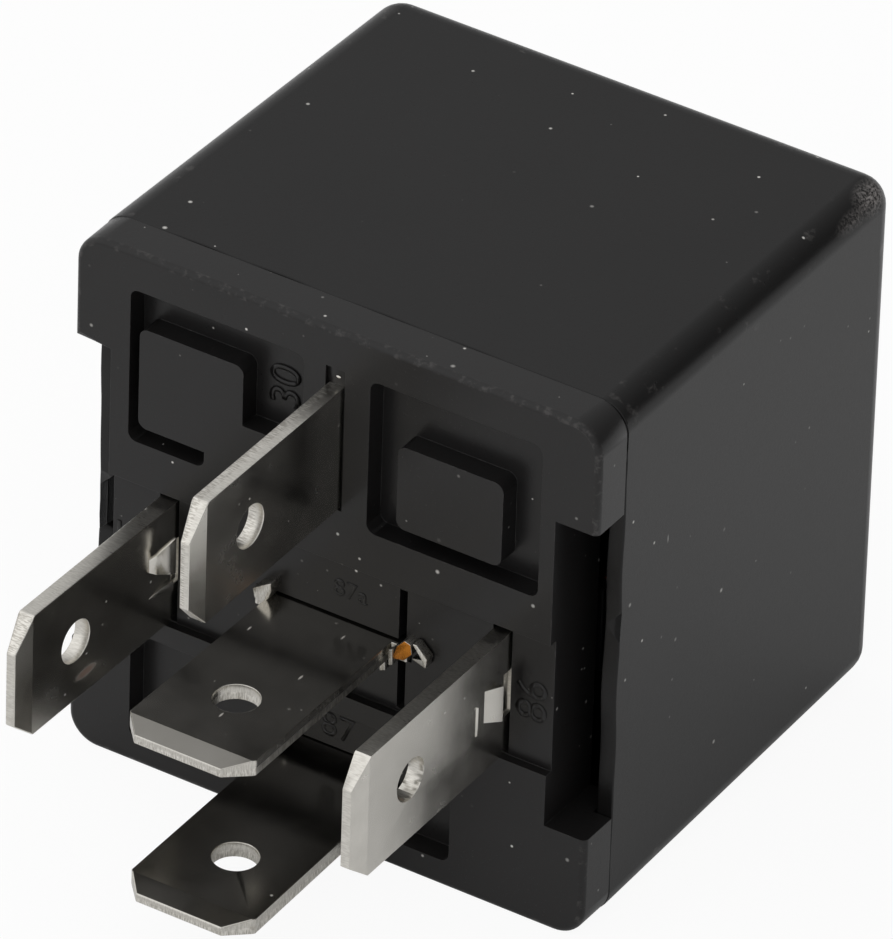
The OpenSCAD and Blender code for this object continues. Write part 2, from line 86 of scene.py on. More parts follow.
def newMaterial(name):
    material = bpy.data.materials.new(name)
    material.use_nodes = True
    return material, material.node_tree, material.node_tree.nodes["Principled BSDF"]


# Specks: the smallest and the added share of their size, and how soft their edge is
speckShape = {"sizeRange": 0.75, "sizeLeast": 0.25, "edgeSlope": -1.2, "edgeLevel": 1.4}


# Dust grains and lint: points scattered through space that show where the surface cuts them. Gives the colour
# with the dust on it, and how much the dust covers
def layDust(tree, place, colour, look):
    covered = None
    for spacing, size, share, stretch, salt in look["dust"]:
        grid = addNode(tree, "ShaderNodeMapping", {"Scale": [s / spacing for s in stretch],
                                                   "Location": (salt, salt * 2, salt * 3)}, {"Vector": place})
        specks = addNode(tree, "ShaderNodeTexVoronoi", {"Scale": 1.0}, {"Vector": grid.outputs[0]})
        dice = addNode(tree, "ShaderNodeSeparateColor", links={0: specks.outputs["Color"]})
        radius = addNode(tree, "ShaderNodeMath", {1: speckShape["sizeRange"] * size / spacing,
                                                  2: speckShape["sizeLeast"] * size / spacing},
                         {0: dice.outputs[0]}, operation="MULTIPLY_ADD")
        reach = addNode(tree, "ShaderNodeMath", links={0: specks.outputs["Distance"], 1: radius.outputs[0]},
                        operation="DIVIDE")
        spot = addNode(tree, "ShaderNodeMath", {1: speckShape["edgeSlope"], 2: speckShape["edgeLevel"]},
                       {0: reach.outputs[0]}, operation="MULTIPLY_ADD", use_clamp=True)
        kept = addNode(tree, "ShaderNodeMath", {1: share}, {0: dice.outputs[1]}, operation="LESS_THAN")
        seen = addNode(tree, "ShaderNodeMath", links={0: spot.outputs[0], 1: kept.outputs[0]},
                       operation="MULTIPLY")
        faded = addNode(tree, "ShaderNodeMath", links={0: seen.outputs[0], 1: dice.outputs[2]},
                        operation="MULTIPLY")
        colour = addNode(tree, "ShaderNodeMix", {7: linear(look["lint"])}, {0: faded.outputs[0], 6: colour},
                         data_type="RGBA").outputs[2]
        both = {0: faded.outputs[0], 1: covered} if covered else {0: faded.outputs[0]}
        covered = addNode(tree, "ShaderNodeMath", {1: 0.0}, both, operation="MAXIMUM").outputs[0]
    return colour, covered


# Black PBT, injection moulded in an eroded tool: nearly all of its grey is soft shine on a black body, with a
# fine grain, paler rubbed edges, a few knocks and white specks of dust and lint
def mouldedPbt(name, look):
    material, tree, shader = newMaterial(name)
    place = addNode(tree, "ShaderNodeTexCoord").outputs["Object"]
    cloud = addNode(tree, "ShaderNodeTexNoise", {"Scale": 1 / (7 * mm), "Detail": 4.0}, {"Vector": place})
    # the real grain is about 0.03 mm; it is drawn about five times coarser so that it shows
    grain = addNode(tree, "ShaderNodeTexNoise", {"Scale": 1 / (0.14 * mm), "Detail": 5.0, "Roughness": 0.75},
                    {"Vector": place})
    body = addNode(tree, "ShaderNodeValToRGB", links={"Fac": cloud.outputs["Fac"]},
                   stops=[(0.32, look["dark"]), (0.68, look["light"])])
    # wear on the rounded edges, in patches, and single knocks
    rim = addNode(tree, "ShaderNodeAttribute", attribute_name="rim")
    rubs = addNode(tree, "ShaderNodeTexNoise",
                   {"Scale": 1 / look["wearSpacing"], "Detail": 6.0, "Roughness": 0.7}, {"Vector": place})
    patches = addNode(tree, "ShaderNodeValToRGB", links={"Fac": rubs.outputs["Fac"]},
                      stops=[(look["wearFrom"], 0.0), (look["wearFrom"] + 0.12, look["wear"])])
    wear = addNode(tree, "ShaderNodeMath", links={0: rim.outputs["Fac"], 1: patches.outputs["Color"]},
                   operation="MULTIPLY")
    pits = addNode(tree, "ShaderNodeValToRGB", links={"Fac": grain.outputs["Fac"]},
                   stops=[(0.42, 0.0), (0.6, 1.0)])
    for spot, reach, level in look["knocks"]:
        near = addNode(tree, "ShaderNodeMapping",
                       {"Location": [c * mm for c in spot], "Scale": [c * mm for c in reach]},
                       {"Vector": place}, vector_type="TEXTURE")
        knock = addNode(tree, "ShaderNodeTexGradient", links={"Vector": near.outputs[0]},
                        gradient_type="SPHERICAL")
        dent = addNode(tree, "ShaderNodeMath", {1: level}, {0: knock.outputs["Fac"]}, operation="MULTIPLY")
        rough = addNode(tree, "ShaderNodeMath", links={0: dent.outputs[0], 1: pits.outputs["Color"]},
                        operation="MULTIPLY")
        wear = addNode(tree, "ShaderNodeMath", links={0: wear.outputs[0], 1: rough.outputs[0]},
                       operation="MAXIMUM")
    colour = addNode(tree, "ShaderNodeMix", {7: linear(look["worn"])},
                     {0: wear.outputs[0], 6: body.outputs["Color"]}, data_type="RGBA").outputs[2]
    colour, _ = layDust(tree, place, colour, look)
    gloss = addNode(tree, "ShaderNodeMath", {1: 0.16, 2: look["roughness"] - 0.08}, {0: grain.outputs["Fac"]},
                    operation="MULTIPLY_ADD")
    bump = addNode(tree, "ShaderNodeBump", {"Strength": 1.0, "Distance": 0.005 * mm},
                   {"Height": grain.outputs["Fac"]})
    shader.inputs["IOR"].default_value = 1.5
    shader.inputs["Specular IOR Level"].default_value = look["specular"]
    tree.links.new(colour, shader.inputs["Base Color"])
    tree.links.new(gloss.outputs[0], shader.inputs["Roughness"])
    tree.links.new(bump.outputs["Normal"], shader.inputs["Normal"])
    return material


# Tin plated brass strip, stamped: smooth bright faces with faint rolling lines and small marks, and sheared edges
# that the die has scored across the thickness, painted shade on the lead-in facets, bare brass where the strip
# broke
def tinnedBrass(name, look):
    material, tree, shader = newMaterial(name)
    place = addNode(tree, "ShaderNodeTexCoord").outputs["Object"]
    patch = addNode(tree, "ShaderNodeTexNoise", {"Scale": 1 / (1.8 * mm), "Detail": 5.0, "Roughness": 0.6},
                    {"Vector": place})
    along = [1 / (0.06 * mm)] * 3  # die scores, finer on the real strip
    along[look["thickAxis"]] = 1 / (0.3 * mm)
    scored = addNode(tree, "ShaderNodeMapping", {"Scale": along}, {"Vector": place})
    score = addNode(tree, "ShaderNodeTexNoise", {"Scale": 1.0, "Detail": 3.0}, {"Vector": scored.outputs[0]})
    rolled = addNode(tree, "ShaderNodeMapping", {"Scale": look["rollScale"]}, {"Vector": place})
    roll = addNode(tree, "ShaderNodeTexNoise", {"Scale": 1.0, "Detail": 3.0}, {"Vector": rolled.outputs[0]})
    cut = addNode(tree, "ShaderNodeAttribute", attribute_name="cut").outputs["Fac"]
    faceColour = addNode(tree, "ShaderNodeValToRGB", links={"Fac": patch.outputs["Fac"]},
                         stops=[(0.35, look["dull"]), (0.65, look["bright"])])
    edgeColour = addNode(tree, "ShaderNodeValToRGB", links={"Fac": score.outputs["Fac"]},
                         stops=[(0.4, look["scoreDark"]), (0.6, look["scoreLight"])])
    colour = addNode(tree, "ShaderNodeMix", links={0: cut, 6: faceColour.outputs["Color"],
                                                   7: edgeColour.outputs["Color"]}, data_type="RGBA")
    # the marked faces are darkened toward the lead-in shade tone, painted shade on the blades' lead-in facets,
    # and bare brass shows where the edge broke
    dull = addNode(tree, "ShaderNodeAttribute", attribute_name="dull").outputs["Fac"]
    leadInShade = addNode(tree, "ShaderNodeMix", {7: linear(look["leadInShade"])}, {0: dull, 6: colour.outputs[2]},
                     data_type="RGBA")
    brass = addNode(tree, "ShaderNodeAttribute", attribute_name="brass").outputs["Fac"]
    bare = addNode(tree, "ShaderNodeMix", {7: linear(look["brass"])}, {0: brass, 6: leadInShade.outputs[2]},
                   data_type="RGBA")
    # a brown varnish stain, and dust, which both hide the metal
    near = addNode(tree, "ShaderNodeMapping", {"Location": look["stain"], "Scale": look["stainReach"]},
                   {"Vector": place}, vector_type="TEXTURE")
    halo = addNode(tree, "ShaderNodeTexGradient", links={"Vector": near.outputs[0]},
                   gradient_type="SPHERICAL")
    stain = addNode(tree, "ShaderNodeValToRGB", links={"Fac": halo.outputs["Fac"]},
                    stops=[(0.0, 0.0), (0.6, 0.7)])
    stained = addNode(tree, "ShaderNodeMix", {7: linear(look["varnish"])},
                      {0: stain.outputs["Color"], 6: bare.outputs[2]}, data_type="RGBA")
    skin, covered = layDust(tree, place, stained.outputs[2], look)
    hidden = addNode(tree, "ShaderNodeMath", links={0: stain.outputs["Color"], 1: covered},
                     operation="MAXIMUM")
    metal = addNode(tree, "ShaderNodeMath", {0: 1.0}, {1: hidden.outputs[0]}, operation="SUBTRACT")
    faceGloss = addNode(tree, "ShaderNodeMath", {1: 0.14, 2: look["gloss"] - 0.07}, {0: patch.outputs["Fac"]},
                        operation="MULTIPLY_ADD")
    edgeGloss = addNode(tree, "ShaderNodeMath", {1: 0.2, 2: look["edgeGloss"] - 0.1}, {0: score.outputs["Fac"]},
                        operation="MULTIPLY_ADD")
    gloss = addNode(tree, "ShaderNodeMix", links={0: cut, 2: faceGloss.outputs[0], 3: edgeGloss.outputs[0]})
    faint = addNode(tree, "ShaderNodeMath", {1: 0.25}, {0: roll.outputs["Fac"]}, operation="MULTIPLY")
    marks = addNode(tree, "ShaderNodeMix", links={0: cut, 2: faint.outputs[0], 3: score.outputs["Fac"]})
    bump = addNode(tree, "ShaderNodeBump", {"Strength": 1.0, "Distance": look["markDepth"]},
                   {"Height": marks.outputs[0]})
    tree.links.new(metal.outputs[0], shader.inputs["Metallic"])
    tree.links.new(skin, shader.inputs["Base Color"])
    tree.links.new(gloss.outputs[0], shader.inputs["Roughness"])
    tree.links.new(bump.outputs["Normal"], shader.inputs["Normal"])
    return material


# A metal with two tones, a grain along one axis and its own gloss, for the parts inside
def workedMetal(name, look):
    material, tree, shader = newMaterial(name)
    place = addNode(tree, "ShaderNodeTexCoord").outputs["Object"]
    grid = addNode(tree, "ShaderNodeMapping", {"Scale": [1 / (s * mm) for s in look["grain"]]},
                   {"Vector": place})
    grain = addNode(tree, "ShaderNodeTexNoise", {"Scale": 1.0, "Detail": 4.0, "Roughness": 0.6},
                    {"Vector": grid.outputs[0]})
    stain = addNode(tree, "ShaderNodeTexNoise", {"Scale": 1 / (3 * mm), "Detail": 3.0}, {"Vector": place})
    colour = addNode(tree, "ShaderNodeValToRGB", links={"Fac": stain.outputs["Fac"]},
                     stops=[(0.3, look["dark"]), (0.7, look["light"])])
    gloss = addNode(tree, "ShaderNodeMath", {1: 0.2, 2: look["roughness"] - 0.1}, {0: grain.outputs["Fac"]},
                    operation="MULTIPLY_ADD")
    bump = addNode(tree, "ShaderNodeBump", {"Strength": 1.0, "Distance": look["depth"] * mm},
                   {"Height": grain.outputs["Fac"]})
    shader.inputs["Metallic"].default_value = look.get("metallic", 1.0)
    tree.links.new(colour.outputs["Color"], shader.inputs["Base Color"])
    tree.links.new(gloss.outputs[0], shader.inputs["Roughness"])
    tree.links.new(bump.outputs["Normal"], shader.inputs["Normal"])
    return material


pbtLook = {"dark": "#0d0c0c", "light": "#100f0f", "worn": "#8a8684", "lint": "#e4e1dc", "roughness": 0.3,
           "specular": 0.27, "wear": 0.25, "wearFrom": 0.6, "wearSpacing": 1.6 * mm,
           # place, reach and strength of each knock
           "knocks": [((12.75, 7.8, 25.85), (0.3, 0.35, 0.3), 3.0), ((12.95, 6.3, 25.2), (0.45, 0.6, 0.45), 1.6),
                      ((12.8, 16.6, 26.2), (0.9, 1.6, 0.9), 1.3), ((12.9, 15.0, 26.0), (0.5, 2.0, 0.5), 0.7)],
           # spacing, size, share of points kept, stretch, place in the noise
           "dust": [(2.0 * mm, 0.13 * mm, 0.5, (1, 1, 1), 3.1), (1.0 * mm, 0.09 * mm, 0.35, (1, 1, 1), 9.4),
                    (5 * mm, 0.2 * mm, 0.4, (1, 1.5, 0.4), 7.7)]}
coverPlastic = mouldedPbt("mouldedPbtCover", pbtLook)
basePlastic = mouldedPbt("mouldedPbtBase", dict(
    pbtLook, dark="#191818", light="#1c1b1b", specular=0.33, wear=0.14, wearFrom=0.52, wearSpacing=0.5 * mm,
    knocks=[((12.6, -4.4, 1.8), (0.5, 0.6, 0.6), 1.0)],
    dust=[(1.2 * mm, 0.12 * mm, 0.9, (1, 1, 1), 1.3), (0.7 * mm, 0.08 * mm, 0.3, (1, 1, 1), 6.4),
          (3.2 * mm, 0.17 * mm, 0.7, (0.5, 1, 1.6), 5.9)]))
# leadInShade is the dark tone painted on the blades' lead-in facets, as painted shade
stripLook = {"dull": "#cfccc5", "bright": "#dad7d0", "scoreDark": "#b4b0a8", "scoreLight": "#e2dfd8",
             "leadInShade": "#55534f", "brass": "#b0702a", "varnish": "#6a3408", "lint": "#dcd8d0", "gloss": 0.25,
             "edgeGloss": 0.36, "markDepth": 0.001 * mm,
             "stain": (-8.4 * mm, (faceY - 6.36) * mm, 9.28 * mm),
             "stainReach": (0.5 * mm, 1.0 * mm, 0.3 * mm),
             "dust": [(0.8 * mm, 0.1 * mm, 0.35, (1, 1, 1), 2.2),
                      (1.5 * mm, 0.16 * mm, 0.7, (2.4, 0.7, 1.2), 4.8)]}
# How many rolling marks to a metre, along the strip, across it and through it
rolling = {"long": 1 / (5 * mm), "wide": 1 / (0.35 * mm), "thick": 1 / (0.3 * mm)}
uprightTin = tinnedBrass("stampedTinnedBrassUpright", dict(
    stripLook, thickAxis=0, rollScale=[rolling["thick"], rolling["wide"], rolling["long"]]))
# a darker copy for the lying blades and the lances, as painted shade on the lying blades' upward faces
shadedLyingTin = tinnedBrass("stampedTinnedBrassLyingShaded", dict(
    stripLook, gloss=0.19, dull="#bdbab3", bright="#c9c6bf", thickAxis=2,
    rollScale=[rolling["long"], rolling["wide"], rolling["thick"]]))
# soft iron, stamped and zinc plated: an even bluish grey with a faint lengthwise grain
zincIron = workedMetal("zincPlatedIron", {"dark": "#9fa3a8", "light": "#b7bbbf", "roughness": 0.38,
                                          "grain": (0.15, 2, 0.15), "depth": 0.002})
# soft iron, turned and left bare: a warmer, duller grey
bareIron = workedMetal("turnedIron", {"dark": "#8f8e8c", "light": "#a5a4a1", "roughness": 0.42,
                                      "grain": (0.2, 0.2, 0.2), "depth": 0.002})
# copper wire under clear enamel: deep orange brown with a smooth gloss
enamelledCopper = workedMetal("enamelledCopper", {"dark": "#8c3f1c", "light": "#b05a28", "roughness": 0.3,
                                                  "grain": (0.4, 0.4, 0.4), "depth": 0.001, "metallic": 0.85})
# phosphor bronze, cold rolled: pinkish gold with fine rolling lines
phosphorBronze = workedMetal("rolledPhosphorBronze", {"dark": "#c08a5c", "light": "#cf9a6b", "roughness": 0.3,
                                                      "grain": (0.12, 3, 3), "depth": 0.001})
# silver alloy, headed from wire: the brightest metal inside, nearly white
contactSilver = workedMetal("headedSilverAlloy", {"dark": "#d9d7d2", "light": "#ecebe8", "roughness": 0.26,
                                                  "grain": (0.3, 0.3, 0.3), "depth": 0.001})
# steel, headed and plated: neutral grey with a soft gloss
rivetSteel = workedMetal("headedPlatedSteel", {"dark": "#a9a9ab", "light": "#bfbfc0", "roughness": 0.32,
                                               "grain": (0.25, 0.25, 0.25), "depth": 0.002})
# glass filled nylon, moulded: a little lighter and cooler than the case
bobbinNylon = mouldedPbt("mouldedNylon", dict(pbtLook, dark="#232427", light="#292a2e", dust=[]))


# Makes a finished piece from a mesh drawn in millimetres
def makePiece(name, bm, material, nodes=(), body="case"):
    bmesh.ops.scale(bm, vec=(mm, mm, mm), verts=bm.verts)
    for f in bm.faces:
        f.smooth = True
    mesh = bpy.data.meshes.new(name)
    bm.to_mesh(mesh)
    bm.free()
    mesh.materials.append(material)
    piece = bpy.data.objects.new(name, mesh)
    bpy.context.scene.collection.objects.link(piece)
    weighted = piece.modifiers.new("evenShading", "WEIGHTED_NORMAL")
    weighted.weight = 100
    weighted.keep_sharp = True
    if body:
        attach(piece, body)
    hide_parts(*nodes)
    return piece


# A copy of a CAD part, merged back from loose triangles to whole faces
def copyOf(node):
    bm = bmesh.new()
    bm.from_mesh(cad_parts[node].data)
    bmesh.ops.scale(bm, vec=(1 / mm, 1 / mm, 1 / mm), verts=bm.verts)
    bmesh.ops.remove_doubles(bm, verts=bm.verts, dist=0.001)
    bmesh.ops.dissolve_limit(bm, angle_limit=math.radians(1), verts=bm.verts, edges=bm.edges)
    return bm


# Rounds every edge sharper than the angle, and marks the rounding for wear
def roundEdges(bm, width, segments=2, angle=25, within=lambda edge: True):
    rim = bm.faces.layers.float.get("rim") or bm.faces.layers.float.new("rim")
    sharp = [e for e in bm.edges
             if e.is_manifold and e.calc_face_angle() > math.radians(angle) and within(e)]
    rounded = bmesh.ops.bevel(bm, geom=sharp, offset=width, offset_type="OFFSET", segments=segments,
                              profile=0.5, affect="EDGES", clamp_overlap=True, material=-1)
    for f in rounded["faces"]:
        f[rim] = 1.0


# Cover: a deep cup with draft, its mouth against the base and a gate mark in the closed end
coverShape = {"wall": 0.8, "corner": 1.4, "cornerSteps": 8, "draft": 0.77, "mouthRound": 0.08,
              "mouthCuts": 30, "gapClosed": 0.12, "gapMean": 0.3, "gapSwing": 1.5, "gapPitch": 0.3}


def makeCover():
    low, high = boxOf("cover")
    size, middle = high - low, (low + high) / 2
    bm = bmesh.new()
    bmesh.ops.create_cube(bm, size=1)
    bmesh.ops.scale(bm, vec=size, verts=bm.verts)
    lean = 2 * size.y * math.tan(math.radians(coverShape["draft"]))
    farEnd = [v for v in bm.verts if v.co.y > 0]
    bmesh.ops.scale(bm, vec=(1 - lean / size.x, 1, 1 - lean / size.z), verts=farEnd)
    bmesh.ops.translate(bm, vec=middle, verts=bm.verts)
    mouth = [f for f in bm.faces if f.normal.y < -0.9]
    bmesh.ops.delete(bm, geom=mouth, context="FACES_ONLY")
    rim = bm.faces.layers.float.new("rim")
    corners = [e for e in bm.edges if len(e.link_faces) == 2]
    rounded = bmesh.ops.bevel(bm, geom=corners, offset=coverShape["corner"], offset_type="OFFSET",
                              segments=coverShape["cornerSteps"], profile=0.5, affect="EDGES", material=-1)
    for f in rounded["faces"]:
        f[rim] = 1.0
    # the mouth meets the flange unevenly, so the parting gap opens and closes
    lipEdges = [e for e in bm.edges if e.is_boundary and e.calc_length() > 5]
    bmesh.ops.subdivide_edges(bm, edges=lipEdges, cuts=coverShape["mouthCuts"])
    for v in bm.verts:
        if v.is_boundary:
            swing = coverShape["gapSwing"] * noise.noise(v.co * coverShape["gapPitch"])
            v.co.y -= coverShape["gapClosed"] * (coverShape["gapMean"] + swing)
    bmesh.ops.recalc_face_normals(bm, faces=bm.faces)
    bmesh.ops.solidify(bm, geom=bm.faces[:], thickness=coverShape["wall"])
    bmesh.ops.recalc_face_normals(bm, faces=bm.faces)
    lip = [e for e in bm.edges if all(v.co.y < low.y + 0.01 for v in e.verts) and e.calc_face_angle(0) > 1]
    bmesh.ops.bevel(bm, geom=lip, offset=coverShape["mouthRound"], offset_type="OFFSET", segments=2,
                    profile=0.5, affect="EDGES", material=-1)
    makePiece("mouldedCover", bm, coverPlastic, ["cover"])


# Gate mark in the closed end: a low disc and the broken stub of the gate, as radius and height
gateShape = {"discs": [(1.7, 0.1), (0.45, 0.22)], "taper": 0.96, "sink": 0.02, "edge": 0.03}


def makeGateMark():
    high = boxOf("cover")[1]
    bm = bmesh.new()
    for radius, height in gateShape["discs"]:
        disc = bmesh.ops.create_cone(bm, cap_ends=True, segments=48, radius1=radius,
                                     radius2=radius * gateShape["taper"], depth=height)
        bmesh.ops.rotate(bm, cent=(0, 0, 0), matrix=Matrix.Rotation(math.radians(-90), 3, "X"),
                         verts=disc["verts"])
        bmesh.ops.translate(bm, vec=(0, high.y + height / 2 - gateShape["sink"], middleZ),
                            verts=disc["verts"])
    roundEdges(bm, gateShape["edge"])
    makePiece("gateMark", bm, coverPlastic)


# Base: flange, pockets and slots with small moulded radii
baseShape = {"edge": 0.12, "frontEdge": 0.3, "frontSteps": 4, "flangeReach": 1}


def makeBase():
    low, high = boxOf("base")
    bm = copyOf("base")

    # the outline of the flange, where its side walls meet the face
    def onRim(edge):
        walls = [f.calc_center_median() for f in edge.link_faces if abs(f.normal.y) < 0.5]
        reach = baseShape["flangeReach"]
        outer = any(abs(c.x) > high.x - reach or c.z < reach or c.z > high.z - reach for c in walls)
        return outer and all(abs(v.co.y - low.y) < 0.01 for v in edge.verts)

    roundEdges(bm, baseShape["frontEdge"], baseShape["frontSteps"], within=onRim)
    roundEdges(bm, baseShape["edge"])
    makePiece("mouldedBase", bm, basePlastic, ["base"])


# Raised terminal numbers on the base: text, height, middle, depth below the face, quarter turns, rise
numberSink = 0.02
numberShape = [("30", 1.6, (-3.12, 22.25), 1.1, 1, 0.08), ("87", 1.3, (-0.03, 5.3), 1.1, 0, 0.03),
               ("86", 1.6, (10.32, 11.4), 0.45, 1, 0.05), ("85", 1.6, (-10.5, 11.4), 0.45, 1, 0.05),
               ("87a", 0.9, (0.83, 13.3), 0.45, 0, 0.03)]


def makeNumbers():
    bm = bmesh.new()
    for text, height, (x, z), depth, turns, rise in numberShape:
        curve = bpy.data.curves.new("number", "FONT")
        curve.body = text
        curve.size = height * 1.4  # a digit is shorter than its line
        curve.align_x = curve.align_y = "CENTER"
        curve.extrude = rise / 2 + numberSink
        curve.resolution_u = 6
        holder = bpy.data.objects.new("number", curve)
        bpy.context.scene.collection.objects.link(holder)
        letters = bpy.data.meshes.new_from_object(holder)
        bpy.data.objects.remove(holder)
        stand = Matrix.Translation((x, faceY + depth - rise / 2 + numberSink, z))
        facing = Matrix.Rotation(math.radians(90), 4, "X")
        letters.transform(stand @ facing @ Matrix.Rotation(math.radians(90 * turns), 4, "Z"))
        bm.from_mesh(letters)
    bmesh.ops.remove_doubles(bm, verts=bm.verts, dist=0.001)
    makePiece("raisedNumbers", bm, basePlastic)


# Blades. Lean: how far the tip is off true along X and Z. Flare: the tip's extra width on the far side.
# Nose: how much of the end face stays, above and below its middle. Dull: how much painted shade the lead-in gets
# Dent: the stake dents of the coil blades. Cut and leadInShade: which faces are marked so. Fold: angles kept
# sharp.
# Outside: how far out of the face a blade stands clear of its sockets
bladeShape = {
    "edge": 0.05, "chamfer": 1.0, "fold": (5, 22), "outside": 3,
    "dent": {"least": 0.1, "most": 0.39, "out": 2.4, "inward": 0.35, "half": 1.4, "skin": 0.4},
    "cut": {"reach": 3, "level": 1.6, "slope": 2, "smooth": 0.4},
    "leadInShade": {"facing": (0.9, 0.998), "reach": 1.2},
    "blades": {
        "30": {"lean": (0.02, 0), "flare": 0, "nose": (0.7, 0.88), "dull": 0.0},
        "85": {"lean": (-0.3, -0.05), "flare": 0, "nose": (0.75, 1), "dull": 0.3},
        "86": {"lean": (-0.23, -0.42), "flare": 0, "nose": (0.9, 1), "dull": 0.0},
        "87": {"lean": (0.2, -0.04), "flare": 0.03, "nose": (1, 1), "dull": 0.85},
        "87a": {"lean": (0, -0.08), "flare": 0.04, "nose": (1, 1), "dull": 0.6}}}


# The middle and the right side of what stands outside the base
def bladeOutside(points):
    outside = [c for c in points if c.y < faceY - bladeShape["outside"]]
    middle = Vector([(min(c[k] for c in outside) + max(c[k] for c in outside)) / 2 for k in range(3)])
    return middle, max(c.x for c in outside)


def makeBlade(label):
    node = "terminal_" + label
    look, dent, marks = bladeShape["blades"][label], bladeShape["dent"], bladeShape["cut"]
    leadInShade = bladeShape["leadInShade"]
    low = boxOf(node)[0]
    upright = label in ("30", "85", "86")
    flatAxis = 0 if upright else 2
    bm = copyOf(node)
    middle, right = bladeOutside([v.co.copy() for v in bm.verts])
    # cut at the face, and in mid thickness, where the sheared edge turns from smooth to broken
    across = Vector((1, 0, 0)) if upright else Vector((0, 0, 1))
    for point, normal in ((Vector((0, faceY, 0)), Vector((0, 1, 0))), (middle, across)):
        bmesh.ops.bisect_plane(bm, geom=bm.verts[:] + bm.edges[:] + bm.faces[:], plane_co=point,
                               plane_no=normal)
    if label in ("85", "86"):
        for v in bm.verts:  # the stake dents are filled by the lugs
            away = v.co.x - middle.x
            beside = faceY - dent["out"] < v.co.y < faceY + dent["inward"]
            level = abs(v.co.z - middle.z) < dent["half"]
            if beside and level and dent["least"] < abs(away) < dent["most"]:
                v.co.x = middle.x + math.copysign(dent["skin"], away)
        bmesh.ops.remove_doubles(bm, verts=bm.verts, dist=0.005)
        bmesh.ops.dissolve_limit(bm, angle_limit=math.radians(1), verts=bm.verts, edges=bm.edges)
    roundEdges(bm, bladeShape["edge"])
    cut = bm.faces.layers.float.new("cut")
    dull = bm.faces.layers.float.new("dull")
    for f in bm.faces:
        center, facing = f.calc_center_median(), abs(f.normal[flatAxis])
        if center.y < faceY + marks["reach"]:
            broken = center[flatAxis] < middle[flatAxis]
            sheared = max(0.0, min(1.0, marks["level"] - marks["slope"] * facing))
            f[cut] = sheared * (1.0 if broken else marks["smooth"])
            # the lead-in facets near the tip, tilted a little off the flat, get painted shade
            if leadInShade["facing"][0] < facing < leadInShade["facing"][1] and center.y < low.y + leadInShade["reach"]:
                f[dull] = look["dull"]
    for e in bm.edges:
        if math.radians(bladeShape["fold"][0]) < e.calc_face_angle(0) < math.radians(bladeShape["fold"][1]):
            e.smooth = False
    for v in bm.verts:
        run = max(0.0, (faceY - v.co.y) / (faceY - low.y))
        toward = max(0.0, (low.y + bladeShape["chamfer"] - v.co.y) / bladeShape["chamfer"])
        if upright:
            side = v.co.z - middle.z
            v.co.z = middle.z + side * (1 - toward * (1 - look["nose"][0 if side > 0 else 1]))
        v.co.x = right - (right - v.co.x) * (1 + look["flare"] * run)
        v.co += Vector((look["lean"][0] * run, 0, look["lean"][1] * run))
    makePiece("blade" + label, bm, uprightTin if upright else shadedLyingTin, [node])


# Lugs pressed out of the coil blades beside the face: rows of how far each stands proud, its distance out from
# the face, and its bottom and top height. Row: the blades' distance from the middle of the base
lugShape = {"sheet": 0.2, "edge": 0.04, "row": 8.65, "skin": 0.4, "sink": 0.03, "lugs": [
    ("86", 1, [(0, 1.5, 10.77, 12.48), (0.34, 0.42, 10.36, 12.31)]),
    ("86", 1, [(0, 2.14, 10.4, 12.0), (0.07, 2.0, 10.43, 11.96)]),
    ("86", -1, [(0, 1.5, 10.77, 12.48), (0.34, 0.42, 10.36, 12.31)]),
    ("85", 1, [(0, 1.72, 11.9, 12.6), (0.3, 1.52, 11.8, 12.85), (0.38, 1.3, 11.72, 13.0),
               (0.62, 0.98, 11.62, 13.3), (0.72, 0.6, 11.56, 13.46)]),
    ("85", 1, [(0, 1.6, 10.42, 10.48), (0.12, 0.7, 10.3, 10.62), (0.3, 0.15, 10.2, 10.7)]),
    ("85", -1, [(0, 1.5, 10.77, 12.48), (0.34, 0.42, 10.36, 12.31)])]}


def makeLugs():
    for number, (label, side, rows) in enumerate(lugShape["lugs"]):
        low, high = boxOf("terminal_" + label)
        skin = math.copysign(lugShape["row"], low.x + high.x) + side * lugShape["skin"]
        bm = bmesh.new()
        edge = None
        for proud, out, bottom, top in rows:
            x = skin + side * (proud - lugShape["sink"])
            place = [Vector((x, faceY - out, z)) for z in (bottom, top)]
            if edge is None:
                edge = bm.edges.new([bm.verts.new(p) for p in place])
                continue
            last = set(edge.verts)
            grown = bmesh.ops.extrude_edge_only(bm, edges=[edge])["geom"]
            edge = [g for g in grown
                    if isinstance(g, bmesh.types.BMEdge) and not any(v in last for v in g.verts)][0]
            for v, p in zip(sorted(edge.verts, key=lambda v: v.co.z), place):
                v.co = p
        bmesh.ops.recalc_face_normals(bm, faces=bm.faces)
        if sum(f.normal.y for f in bm.faces) > 0:
            bmesh.ops.reverse_faces(bm, faces=bm.faces)
        bmesh.ops.solidify(bm, geom=bm.faces[:], thickness=lugShape["sheet"])
        bmesh.ops.recalc_face_normals(bm, faces=bm.faces)
        roundEdges(bm, lugShape["edge"], 2)
        makePiece(f"lug{label}_{number}", bm, uprightTin)


